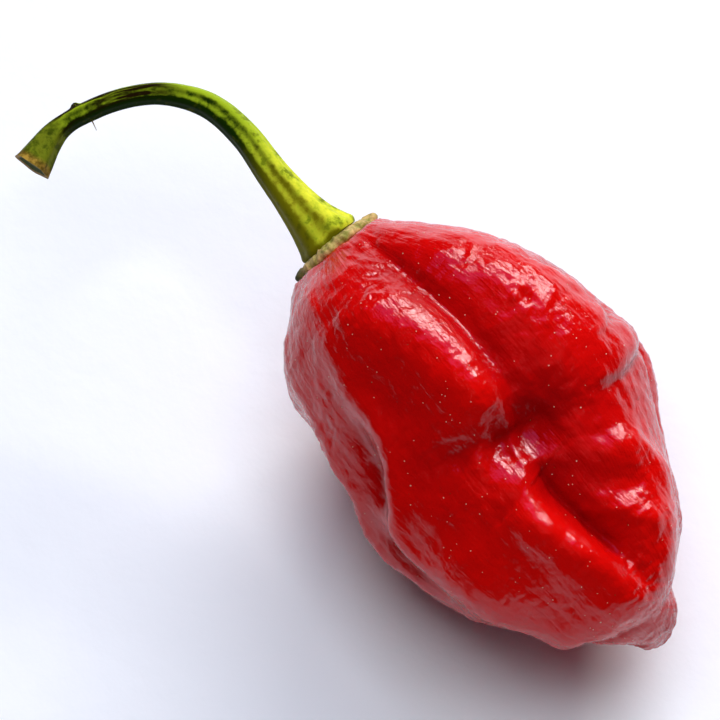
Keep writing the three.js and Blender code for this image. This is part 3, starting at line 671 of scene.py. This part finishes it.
def pod_material(settings):
    """Ripe chilli skin, grown with a thin wax on it: a saturated red under a clear glossy coat,
    fine pores that break up the highlights, and painted shade that darkens the furrows and lightens
    the lobes."""
    material, tree, shader, place_on = new_material("Ripe chilli skin, waxy")
    patches = add(tree, "ShaderNodeTexNoise", {
        "Vector": place_on, "Scale": marks(6.667), "Detail": 4.0, "Roughness": 0.65})
    # Painted shade and light: the fold height darkens the red in the furrows and lightens it on the lobes,
    # added to the skin's random patches
    fold = add(tree, "ShaderNodeAttribute", attribute_name="fold")
    raised = add(tree, "ShaderNodeMapRange", {
        "Value": fold.outputs["Fac"], "From Min": -2.5, "From Max": 1.5, "To Min": -0.1, "To Max": 0.6})
    tone_and_fold_shade = add(tree, "ShaderNodeMath", {
        0: patches.outputs[0], 1: 0.8, 2: raised.outputs[0]}, operation="MULTIPLY_ADD")
    red = add(tree, "ShaderNodeMix", {
        "Factor": tone_and_fold_shade.outputs[0], "A": settings.deep_red, "B": settings.bright_red}, data_type="RGBA")
    # Pores, drawn a little coarser than the real ones so that they show
    pores = add(tree, "ShaderNodeTexNoise", {
        "Vector": place_on, "Scale": marks(0.4545), "Detail": 2.0, "Roughness": 0.6})
    skin_place = add(tree, "ShaderNodeAttribute", attribute_name="skin")
    drawn_out = add(tree, "ShaderNodeVectorMath", {
        0: skin_place.outputs["Vector"], 1: (1.0, 1.0, 0.5)}, operation="MULTIPLY")
    # Lengthwise wrinkles in the wax, 0.5 mm apart on a pod of this girth
    wrinkles = add(tree, "ShaderNodeTexNoise", {
        "Vector": drawn_out.outputs[0], "Scale": POD_RADIUS / 0.5, "Detail": 3.0, "Roughness": 0.6,
        "Distortion": 0.4})
    bump = add(tree, "ShaderNodeBump", {
        "Height": wrinkles.outputs[0], "Strength": 0.6, "Distance": 0.14 * MM})
    fine = add(tree, "ShaderNodeBump", {
        "Height": pores.outputs[0], "Strength": 0.9, "Distance": 0.06 * MM, "Normal": bump.outputs[0]})
    wax = add(tree, "ShaderNodeTexNoise", {
        "Vector": place_on, "Scale": marks(3.846), "Detail": 5.0, "Roughness": 0.6})
    dull = add(tree, "ShaderNodeMapRange", {
        "Value": wax.outputs[0], "From Min": 0.3, "From Max": 0.7, "To Min": 0.07, "To Max": 0.17})
    fill(tree, shader, {
        "Base Color": red.outputs[2], "Normal": fine.outputs[0], "Coat Normal": fine.outputs[0],
        "Roughness": dull.outputs[0], "IOR": 1.45, "Specular IOR Level": 0.42, "Coat Weight": 0.12,
        "Coat Roughness": 0.1, "Coat IOR": 1.35, "Subsurface Weight": 0.1,
        "Subsurface Radius": (1.0, 0.12, 0.06), "Subsurface Scale": 1.2 * MM})
    return material


class PEPPER_OT_pod(bpy.types.Operator):
    """Builds the pod's skin with its lobes, folds and ripples"""
    bl_idname = "pepper.pod"
    bl_label = "Pod"

    def execute(self, context):
        settings = context.scene.pepper_pod
        pod = new_object("pod_skin", pod_mesh(settings.rings, settings.sides))
        grown(pod, ripple_tree(), {
            "Lump height": settings.lump_height, "Lump size": settings.lump_size,
            "Ripple height": settings.ripple_height, "Ripples": settings.ripples,
            "Crinkle depth": settings.crinkle_depth, "Crinkle size": settings.crinkle_size,
            "Material": pod_material(settings)})
        points = points_of(pod.data)
        points[:, 2] = settle(points[:, 2] / MM) * MM
        move_points(pod.data, points)
        hand_over(pod, "pod")
        return {"FINISHED"}


def calyx_material(settings):
    """Calyx, grown green and dried to cork at its rim: a matt, pitted surface, part ochre, part
    olive, with rusty specks."""
    material, tree, shader, place_on = new_material("Corky calyx, dried")
    patches = add(tree, "ShaderNodeTexNoise", {
        "Vector": place_on, "Scale": marks(1.111), "Detail": 4.0, "Roughness": 0.7})
    dry = add(tree, "ShaderNodeMapRange", {
        "Value": patches.outputs[0], "From Min": 0.4, "From Max": 0.62})
    blend = add(tree, "ShaderNodeMix", {
        "Factor": dry.outputs[0], "A": settings.olive, "B": settings.ochre}, data_type="RGBA")
    rust = add(tree, "ShaderNodeTexNoise", {"Vector": place_on, "Scale": marks(0.4348), "Detail": 2.0})
    spots = add(tree, "ShaderNodeMapRange", {
        "Value": rust.outputs[0], "From Min": 0.6, "From Max": 0.7, "To Max": 0.6})
    rusty = add(tree, "ShaderNodeMix", {
        "Factor": spots.outputs[0], "A": blend.outputs[2], "B": linear("#7a4526")}, data_type="RGBA")
    tooth = add(tree, "ShaderNodeAttribute", attribute_name="tooth").outputs["Fac"]
    colour = add(tree, "ShaderNodeMix", {
        "Factor": tooth, "A": rusty.outputs[2], "B": linear("#232a08")}, data_type="RGBA")
    bump = add(tree, "ShaderNodeBump", {
        "Height": patches.outputs[0], "Strength": 0.8, "Distance": 0.2 * MM})
    fill(tree, shader, {"Base Color": colour.outputs[2], "Normal": bump.outputs[0], "Roughness": 0.75})
    return material


def calyx_mesh(sides):
    """A low collar with a crumpled, ragged rim and a few short teeth."""
    around = np.arange(sides) * 2 * math.pi / sides
    wave = sum(depth * np.cos(count * around + math.radians(turn)) for count, depth, turn in CALYX_WAVES)
    for at, length, half_width in CALYX_TEETH:
        away = 1 - np.cos(around - math.radians(at))
        wave = wave + length * np.exp(-away / (1 - math.cos(math.radians(half_width))))
    rough = np.random.default_rng(CALYX_SEED)
    rows = []
    for share, height, crumple in CALYX_PROFILE:
        jag = rough.standard_normal((2, sides))
        jag = sum(np.roll(jag, shift, 1) for shift in (0, 1, -1, 2)) / 4 * crumple * CALYX_JAG
        fold = sum(np.cos(count * around + turn) for count, turn in CALYX_FOLDS) * crumple * CALYX_CRUMPLE
        wavy = np.clip((share - WAVES_FROM) / (WAVES_TO - WAVES_FROM), 0, 1)
        radius = share * (CALYX_RADIUS + wave * wavy)
        rows.append(seat_plane(-height + jag[0] + fold, around, radius + jag[1]))
    bottom = SEAT + (SEAT_DEPTH - CALYX_PROFILE[0][1]) * TO_TIP
    top = SEAT + (SEAT_DEPTH - CALYX_GAP - CALYX_HEIGHT) * TO_TIP
    mesh = ring_mesh("calyx_collar", np.vstack([*rows, bottom, top]), len(rows), sides)
    # The longest tooth is still dark green
    away = 1 - np.cos(around - math.radians(CALYX_TEETH[0][0]))
    green = [np.clip((share - GREEN_FROM) * GREEN_RISE, 0, 1) * np.exp(-away / GREEN_SPREAD)
             for share, _, _ in CALYX_PROFILE]
    set_attribute(mesh, "tooth", "FLOAT", np.append(np.concatenate(green), [0, 0]))
    return mesh


class PEPPER_OT_calyx(bpy.types.Operator):
    """Builds the ragged corky collar between the pod and the stalk"""
    bl_idname = "pepper.calyx"
    bl_label = "Calyx"

    def execute(self, context):
        settings = context.scene.pepper_calyx
        calyx = new_object("calyx_collar", calyx_mesh(settings.sides))
        calyx.data.materials.append(calyx_material(settings))
        outward(calyx.data)
        hand_over(calyx, "calyx")
        return {"FINISHED"}


def stalk_tree():
    """Sweeps a blunt-angled section along the stalk's line and makes its surface uneven."""
    tree = new_tree("Stalk sweep", [
        ("Sides", "NodeSocketInt"), ("Angles", "NodeSocketInt"), ("Edge depth", "NodeSocketFloat"),
        ("Lump height", "NodeSocketFloat")])
    source = add(tree, "NodeGroupInput")
    line = add(tree, "GeometryNodeMeshToCurve", {"Mesh": source.outputs["Geometry"]})
    thickness = add(tree, "GeometryNodeInputNamedAttribute", {"Name": "thickness"}, data_type="FLOAT")
    ring = add(tree, "GeometryNodeCurvePrimitiveCircle", {
        "Resolution": source.outputs["Sides"], "Radius": 1.0})
    share = add(tree, "GeometryNodeSplineParameter")
    turn = add(tree, "ShaderNodeMath", {0: share.outputs["Factor"], 1: math.tau}, operation="MULTIPLY")
    many = add(tree, "ShaderNodeMath", {
        0: turn.outputs[0], 1: source.outputs["Angles"]}, operation="MULTIPLY")
    wave = add(tree, "ShaderNodeMath", {0: many.outputs[0]}, operation="COSINE")
    grow = add(tree, "ShaderNodeMath", {
        0: wave.outputs[0], 1: source.outputs["Edge depth"], 2: 1.0}, operation="MULTIPLY_ADD")
    here = add(tree, "GeometryNodeInputPosition")
    swollen = add(tree, "ShaderNodeVectorMath", {
        0: here.outputs[0], "Scale": grow.outputs[0]}, operation="SCALE")
    section = add(tree, "GeometryNodeSetPosition", {
        "Geometry": ring.outputs[0], "Position": swollen.outputs[0]})
    tube = add(tree, "GeometryNodeCurveToMesh", {
        "Curve": line.outputs[0], "Profile Curve": section.outputs["Geometry"],
        "Scale": thickness.outputs["Attribute"], "Fill Caps": True})
    noise = add(tree, "ShaderNodeTexNoise", {
        "Vector": here.outputs[0], "Scale": marks(2.381), "Detail": 3.0, "Roughness": 0.5})
    centred = add(tree, "ShaderNodeMath", {0: noise.outputs[0], 1: 0.5}, operation="SUBTRACT")
    lump = add(tree, "ShaderNodeMath", {
        0: centred.outputs[0], 1: source.outputs["Lump height"]}, operation="MULTIPLY")
    raise_surface(tree, tube.outputs[0], lump.outputs[0], source)
    return tree


def stalk_line(steps):
    """The stalk's middle line and radii, in millimetres, at even distances."""
    face = math.cos(FACE_TURN) * TO_TOP + math.sin(FACE_TURN) * TO_LEFT
    seat_axis = TO_TIP - SEAT_SLOPE * face
    foot = SEAT_DEPTH * TO_TIP - (CALYX_GAP + CALYX_HEIGHT) * seat_axis
    rough = through([foot, *STALK_LINE], ROUTE_STEPS)
    run = np.append(0, np.cumsum(np.linalg.norm(np.diff(rough, axis=0), axis=1)))
    share = np.linspace(0, 1, steps + 1)
    line = np.stack([np.interp(share * run[-1], run, rough[:, i]) for i in range(3)], -1)
    return SEAT + line, smooth_column(STALK_RADII, 1)(share), share


def set_stem(mesh):
    """Notes on each point how far it faces the side painted as lit and the sky, and its share of
    the length.
    """
    count = len(mesh.vertices)
    normals = np.zeros(count * 3, np.float32)
    mesh.vertices.foreach_get("normal", normals)
    normals = normals.reshape(-1, 3)
    share = np.zeros(count, np.float32)
    mesh.attributes["along"].data.foreach_get("value", share)
    set_attribute(mesh, "stem", "FLOAT_VECTOR", np.stack([normals @ PAINTED_LIGHT_SIDE, normals[:, 2], share], -1))


def stalk_material(settings):
    """Fresh chilli stalk, grown: smooth with little gloss. One side is painted light as if lit,
    lime-yellow at the base and light green further on, the other side painted dark green as shade.
    It is mottled with darker spots, has brown-black bruises where it bends and dries to tan at its cut rim."""
    material, tree, shader, place_on = new_material("Green chilli stalk, fresh")
    stem = add(tree, "ShaderNodeAttribute", attribute_name="stem").outputs["Vector"]
    light_facing, _, along = add(tree, "ShaderNodeSeparateXYZ", {0: stem}).outputs

    mottle = add(tree, "ShaderNodeTexNoise", {
        "Vector": place_on, "Scale": marks(1.333), "Detail": 4.0, "Roughness": 0.65}).outputs[0]
    # Painted light and shade: how far a point faces the side painted as lit, with the mottle making the
    # edge between light and shade wander
    wander = add(tree, "ShaderNodeMath", {0: mottle, 1: 0.9, 2: light_facing}, operation="MULTIPLY_ADD").outputs[0]
    # Bruises run along the stalk, about 7 mm long
    drawn_out = add(tree, "ShaderNodeVectorMath", {0: stem, 1: (1.0, 1.0, 2.5)}, operation="MULTIPLY")
    streaks = add(tree, "ShaderNodeTexNoise", {
        "Vector": drawn_out.outputs[0], "Scale": 2.3, "Detail": 4.0, "Roughness": 0.6}).outputs[0]

    # Each mask goes from none at its first value to its strength at its second
    masks = {}
    for name, value, none, full, strength in [
            ("fresh patches", mottle, 0.3, 0.75, 1), ("grown light", along, 0.16, 0.42, 1),
            ("painted shade along", along, 0.14, 0.36, 1), ("facing the light", wander, 0.35, 0.75, 1),
            ("flare", along, 0.84, 0.91, 1), ("flare patches", mottle, 0.35, 0.65, 1),
            ("spots", mottle, 0.53, 0.68, 0.6), ("bruises", streaks, 0.34, 0.52, 1),
            ("past the bend", along, 0.52, 0.62, 1), ("short of the flare", along, 0.93, 0.86, 1),
            ("above the shade", light_facing, -0.45, 0.15, 1), ("below the light", light_facing, 0.95, 0.72, 1),
            ("worn", mottle, 0.4, 0.62, 1), ("rim", along, 0.972, 0.99, 1)]:
        masks[name] = add(tree, "ShaderNodeMapRange", {
            "Value": value, "From Min": none, "From Max": full, "To Max": strength},
            interpolation_type="SMOOTHSTEP").outputs[0]
    for limit in ("past the bend", "short of the flare", "above the shade", "below the light"):
        masks["bruises"] = add(tree, "ShaderNodeMath", {
            0: masks["bruises"], 1: masks[limit]}, operation="MULTIPLY").outputs[0]

    # Each layer blends two colours or earlier layers by a mask
    layers = {
        "light green": settings.green, "pale green": settings.pale_green, "olive": settings.olive,
        "deep green": settings.deep_green, "dull green": linear("#3a4606"), "sage": linear("#76801a"),
        "spot": linear("#4a4c06"), "bruise": linear("#1b1003"), "brown": linear("#5e4a14"),
        "tan": linear("#a88634"),
    }
    # The first four layers give the lit side its painted light and the other side its painted shade, and
    # blend the two across the stalk
    for name, mask, without, full in [
            ("young", "fresh patches", "pale green", "light green"),
            ("painted light half", "grown light", "young", "light green"),
            ("painted shade half", "painted shade along", "olive", "deep green"),
            ("painted light and shade", "facing the light", "painted shade half", "painted light half"),
            ("end", "flare patches", "dull green", "sage"), ("flared", "flare", "painted light and shade", "end"),
            ("spotted", "spots", "flared", "spot"), ("bruised", "bruises", "spotted", "bruise"),
            ("worn", "worn", "brown", "tan"), ("dried", "rim", "bruised", "worn")]:
        layers[name] = add(tree, "ShaderNodeMix", {
            "Factor": masks[mask], "A": layers[without], "B": layers[full]}, data_type="RGBA").outputs[2]
    bump = add(tree, "ShaderNodeBump", {"Height": mottle, "Strength": 0.4, "Distance": 0.08 * MM})
    fill(tree, shader, {
        "Base Color": layers["dried"], "Normal": bump.outputs[0], "Roughness": 0.5,
        "Specular IOR Level": 0.02, "Subsurface Weight": 0.05, "Subsurface Radius": (0.5, 1.0, 0.2),
        "Subsurface Scale": 0.8 * MM})
    return material


def cut_material(name, colour, dark):
    """The stalk's cut end, snapped and dried: a tan fibrous rim round a dull green pith."""
    material, tree, shader, place_on = new_material(name)
    fibres = add(tree, "ShaderNodeTexNoise", {
        "Vector": place_on, "Scale": marks(0.3333), "Detail": 3.0, "Roughness": 0.7})
    blend = add(tree, "ShaderNodeMix", {
        "Factor": fibres.outputs[0], "A": linear(colour), "B": linear(dark)}, data_type="RGBA")
    bump = add(tree, "ShaderNodeBump", {
        "Height": fibres.outputs[0], "Strength": 0.8, "Distance": 0.1 * MM})
    fill(tree, shader, {"Base Color": blend.outputs[2], "Normal": bump.outputs[0], "Roughness": 0.8})
    return material


def cut_end(mesh, end, direction):
    """Hollows the stalk's cut face and gives it a rim and a pith."""
    work = bmesh.new()
    work.from_mesh(mesh)
    work.normal_update()
    cap = max((f for f in work.faces if len(f.verts) > 4), key=lambda f: f.normal.dot(direction))
    for inset, depth, index in CUT_STEPS:
        bmesh.ops.inset_individual(work, faces=[cap], thickness=inset * MM, depth=depth * MM)
        for edge in cap.edges:
            for face in edge.link_faces:
                if face is not cap:
                    face.material_index = index
    bmesh.ops.poke(work, faces=[cap])
    for face in work.faces:
        if face.calc_center_median().dot(direction) > end - CUT_DEPTH * MM and len(face.verts) == 3:
            face.material_index = PITH
    work.to_mesh(mesh)
    work.free()


def square_to(line, here):
    """The direction square to the stalk that is nearest to the side painted as lit."""
    ahead = line[here + 1] - line[here - 1]
    ahead /= np.linalg.norm(ahead)
    side = PAINTED_LIGHT_SIDE - (PAINTED_LIGHT_SIDE @ ahead) * ahead
    return side / np.linalg.norm(side)


def raise_knob(mesh, line, radius):
    """Raises a small scarred knob on the side of the stalk that is painted as lit."""
    here = round(KNOB_SHARE * (len(line) - 1))
    knob = line[here] + radius[here] * square_to(line, here)
    points = points_of(mesh) / MM
    offset = points - line[here]
    distance = np.linalg.norm(points - knob, axis=-1)
    out = offset / np.linalg.norm(offset, axis=-1, keepdims=True)
    move_points(mesh, (points + out * KNOB_HEIGHT * np.exp(-(distance / KNOB_WIDTH) ** 2)[:, None]) * MM)


def add_hair(mesh, line, radius):
    """A stiff hair on the stalk's shaded side."""
    here = round(HAIR_SHARE * (len(line) - 1))
    lean = Vector(-square_to(line, here))
    middle = Vector(line[here]) + lean * (radius[here] + HAIR_OUT * HAIR_LENGTH)
    work = bmesh.new()
    work.from_mesh(mesh)
    cone = bmesh.ops.create_cone(
        work, cap_ends=True, segments=6, radius1=HAIR_FOOT * MM, radius2=HAIR_END * MM,
        depth=HAIR_LENGTH * MM,
        matrix=Matrix.Translation(middle * MM) @ lean.to_track_quat("Z", "Y").to_matrix().to_4x4())
    for face in {face for vert in cone["verts"] for face in vert.link_faces}:
        face.material_index = RIM
    work.to_mesh(mesh)
    work.free()


class PEPPER_OT_stalk(bpy.types.Operator):
    """Sweeps the five-angled stalk along its line and cuts its end"""
    bl_idname = "pepper.stalk"
    bl_label = "Stalk"

    def execute(self, context):
        settings = context.scene.pepper_stalk
        line, radius, share = stalk_line(settings.steps)
        mesh = bpy.data.meshes.new("stalk_stem")
        mesh.from_pydata((line * MM).tolist(), [(i, i + 1) for i in range(len(line) - 1)], [])
        set_attribute(mesh, "thickness", "FLOAT", radius * MM)
        set_attribute(mesh, "along", "FLOAT", share)
        stalk = new_object("stalk_stem", mesh)
        grown(stalk, stalk_tree(), {
            "Sides": settings.sides, "Angles": settings.angles, "Edge depth": settings.edge_depth,
            "Lump height": settings.lump_height, "Material": stalk_material(settings)})
        stalk.data.materials.append(cut_material("Cut stalk rim, dried", "#a5813f", "#6f5322"))
        stalk.data.materials.append(cut_material("Cut stalk pith, dried", "#4c5a1c", "#2f3510"))
        raise_knob(stalk.data, line, radius)
        set_stem(stalk.data)
        direction = Vector(line[-1] - line[-2]).normalized()
        cut_end(stalk.data, Vector(line[-1] * MM).dot(direction), direction)
        add_hair(stalk.data, line, radius)
        outward(stalk.data)
        hand_over(stalk, "stalk")
        return {"FINISHED"}


def speck_tree():
    """Scatters tiny flat grains over the skin."""
    tree = new_tree("Dust specks", [
        ("Density", "NodeSocketFloat"), ("Size", "NodeSocketFloat"), ("Seed", "NodeSocketInt")])
    source = add(tree, "NodeGroupInput")
    spread = add(tree, "GeometryNodeDistributePointsOnFaces", {
        "Mesh": source.outputs["Geometry"], "Density": source.outputs["Density"],
        "Seed": source.outputs["Seed"]})
    grain = add(tree, "GeometryNodeMeshIcoSphere", {"Radius": 1.0, "Subdivisions": 1})
    draw = add(tree, "FunctionNodeRandomValue", {
        "Min": (0.35, 0.3, 0.2), "Max": (1.0, 0.8, 0.35), "Seed": source.outputs["Seed"]},
        data_type="FLOAT_VECTOR")
    size = add(tree, "ShaderNodeVectorMath", {
        0: draw.outputs[0], "Scale": source.outputs["Size"]}, operation="SCALE")
    grains = add(tree, "GeometryNodeInstanceOnPoints", {
        "Points": spread.outputs["Points"], "Instance": grain.outputs["Mesh"],
        "Rotation": spread.outputs["Rotation"], "Scale": size.outputs[0]})
    finish_tree(tree, grains.outputs[0], source)
    return tree


def speck_material():
    """House dust and plant grit: matt pale grains that break the skin's gloss."""
    material, tree, shader, place_on = new_material("Dust, settled")
    mix = add(tree, "ShaderNodeTexNoise", {"Vector": place_on, "Scale": marks(1.429)})
    pale = add(tree, "ShaderNodeMix", {
        "Factor": mix.outputs[0], "A": linear("#f6e2cf"), "B": linear("#b9743c")}, data_type="RGBA")
    # One grain in six is dark
    kind = add(tree, "ShaderNodeTexNoise", {"Vector": place_on, "Scale": marks(0.7692)})
    dark = add(tree, "ShaderNodeMath", {0: kind.outputs[0], 1: 0.6}, operation="GREATER_THAN")
    colour = add(tree, "ShaderNodeMix", {
        "Factor": dark.outputs[0], "A": pale.outputs[2], "B": linear("#3c3a10")}, data_type="RGBA")
    fill(tree, shader, {"Base Color": colour.outputs[2], "Roughness": 0.85})
    return material


class PEPPER_OT_specks(bpy.types.Operator):
    """Scatters dust over the pod's skin"""
    bl_idname = "pepper.specks"
    bl_label = "Dust specks"

    def execute(self, context):
        settings = context.scene.pepper_specks
        specks = new_object("dust_specks", bpy.data.objects["pod_skin"].data.copy())
        grown(specks, speck_tree(), {
            "Density": settings.density, "Size": settings.size, "Seed": settings.seed,
            "Material": speck_material()})
        hand_over(specks, None)
        return {"FINISHED"}


def camera_axes(settings):
    """The camera's right, up and backward directions."""
    a, e = settings.azimuth, settings.elevation
    back = Vector((math.sin(a) * math.cos(e), -math.cos(a) * math.cos(e), math.sin(e)))
    right = Vector((math.cos(a), math.sin(a), 0))
    return right, back.cross(right), back


def lamp(name, turn, height, size, power, colour, mirrored, forward, right):
    """A soft lamp that faces the pepper."""
    light = bpy.data.lights.new(name, "AREA")
    light.shape = "RECTANGLE"
    light.size, light.size_y = size
    light.energy = power
    light.color = linear(colour)[:3]
    made = new_object(name, light)
    turn, height = math.radians(turn), math.radians(height)
    level = forward * math.cos(turn) + right * math.sin(turn)
    away = level * math.cos(height) + Vector((0, 0, math.sin(height)))
    made.matrix_world = (Matrix.Translation(away * LAMP_DISTANCE)
                         @ away.to_track_quat("Z", "Y").to_matrix().to_4x4())
    made.visible_glossy = mirrored


def paper_material(settings):
    """Uncoated white paper, pressed: matt, very slightly wavy."""
    material, tree, shader, place_on = new_material("White paper, pressed")
    waves = add(tree, "ShaderNodeTexNoise", {"Vector": place_on, "Scale": marks(3.125), "Detail": 4.0})
    bump = add(tree, "ShaderNodeBump", {"Height": waves.outputs[0], "Strength": 0.3, "Distance": 0.3 * MM})
    fill(tree, shader, {"Base Color": settings.paper, "Normal": bump.outputs[0], "Roughness": 0.9})
    return material


class PEPPER_OT_stage(bpy.types.Operator):
    """Sets up the camera, the paper and the soft light"""
    bl_idname = "pepper.stage"
    bl_label = "Stage"

    def execute(self, context):
        settings = context.scene.pepper_stage
        right, up, back = camera_axes(settings)
        target = Vector(SEAT * MM) + (LOOK_RIGHT * right - LOOK_DOWN * up) * MM
        data = bpy.data.cameras.new("camera")
        data.sensor_width = 36
        data.lens = data.sensor_width * settings.distance / settings.field
        data.clip_start = 0.01
        camera = new_object("camera", data)
        camera.matrix_world = Matrix.Translation(target + back * settings.distance) @ Matrix(
            (right, up, back)).transposed().to_4x4()
        context.scene.camera = camera

        floor_mesh = bpy.data.meshes.new("paper")
        half = PAPER_HALF * MM
        floor_mesh.from_pydata([(-half, -half, 0), (half, -half, 0), (half, half, 0), (-half, half, 0)], [],
                               [(0, 1, 2, 3)])
        floor_mesh.materials.append(paper_material(settings))
        paper = new_object("paper", floor_mesh)

        # Forward is away from the camera along the paper, so the window is at the picture's top
        forward = Vector((0, 0, 1)).cross(right)
        for name, turn, height, size, share, colour, mirrored in LAMPS:
            power = share * settings.light_power
            lamp(name, turn, height, size, power, colour, mirrored, forward, right)
        world = bpy.data.worlds.new("room")
        world.use_nodes = True
        background = world.node_tree.nodes["Background"]
        background.inputs["Color"].default_value = linear(ROOM_COLOUR)
        background.inputs["Strength"].default_value = ROOM_STRENGTH
        context.scene.world = world
        context.scene.view_settings.view_transform = "Standard"
        return {"FINISHED"}


class PEPPER_PT_panel(bpy.types.Panel):
    """Lists the pepper's pieces"""
    bl_idname = "PEPPER_PT_panel"
    bl_label = "Chilli Pepper"
    bl_space_type = "VIEW_3D"
    bl_region_type = "UI"
    bl_category = "Pepper"

    def draw(self, context):
        for operator in OPERATORS:
            self.layout.operator(operator.bl_idname)


SETTINGS = {
    "pepper_pod": PodSettings, "pepper_calyx": CalyxSettings, "pepper_stalk": StalkSettings,
    "pepper_specks": SpeckSettings, "pepper_stage": StageSettings,
}
OPERATORS = [PEPPER_OT_stage, PEPPER_OT_pod, PEPPER_OT_calyx, PEPPER_OT_stalk, PEPPER_OT_specks]


def register():
    for group in [*SETTINGS.values(), *OPERATORS, PEPPER_PT_panel]:
        bpy.utils.register_class(group)
    for name, group in SETTINGS.items():
        setattr(bpy.types.Scene, name, PointerProperty(type=group))


def unregister():
    for name in SETTINGS:
        delattr(bpy.types.Scene, name)
    for group in reversed([*SETTINGS.values(), *OPERATORS, PEPPER_PT_panel]):
        bpy.utils.unregister_class(group)


def main():
    register()
    bpy.ops.pepper.stage()
    bpy.ops.pepper.pod()
    bpy.ops.pepper.calyx()
    bpy.ops.pepper.stalk()
    bpy.ops.pepper.specks()


if __name__ == "__main__":
    main()
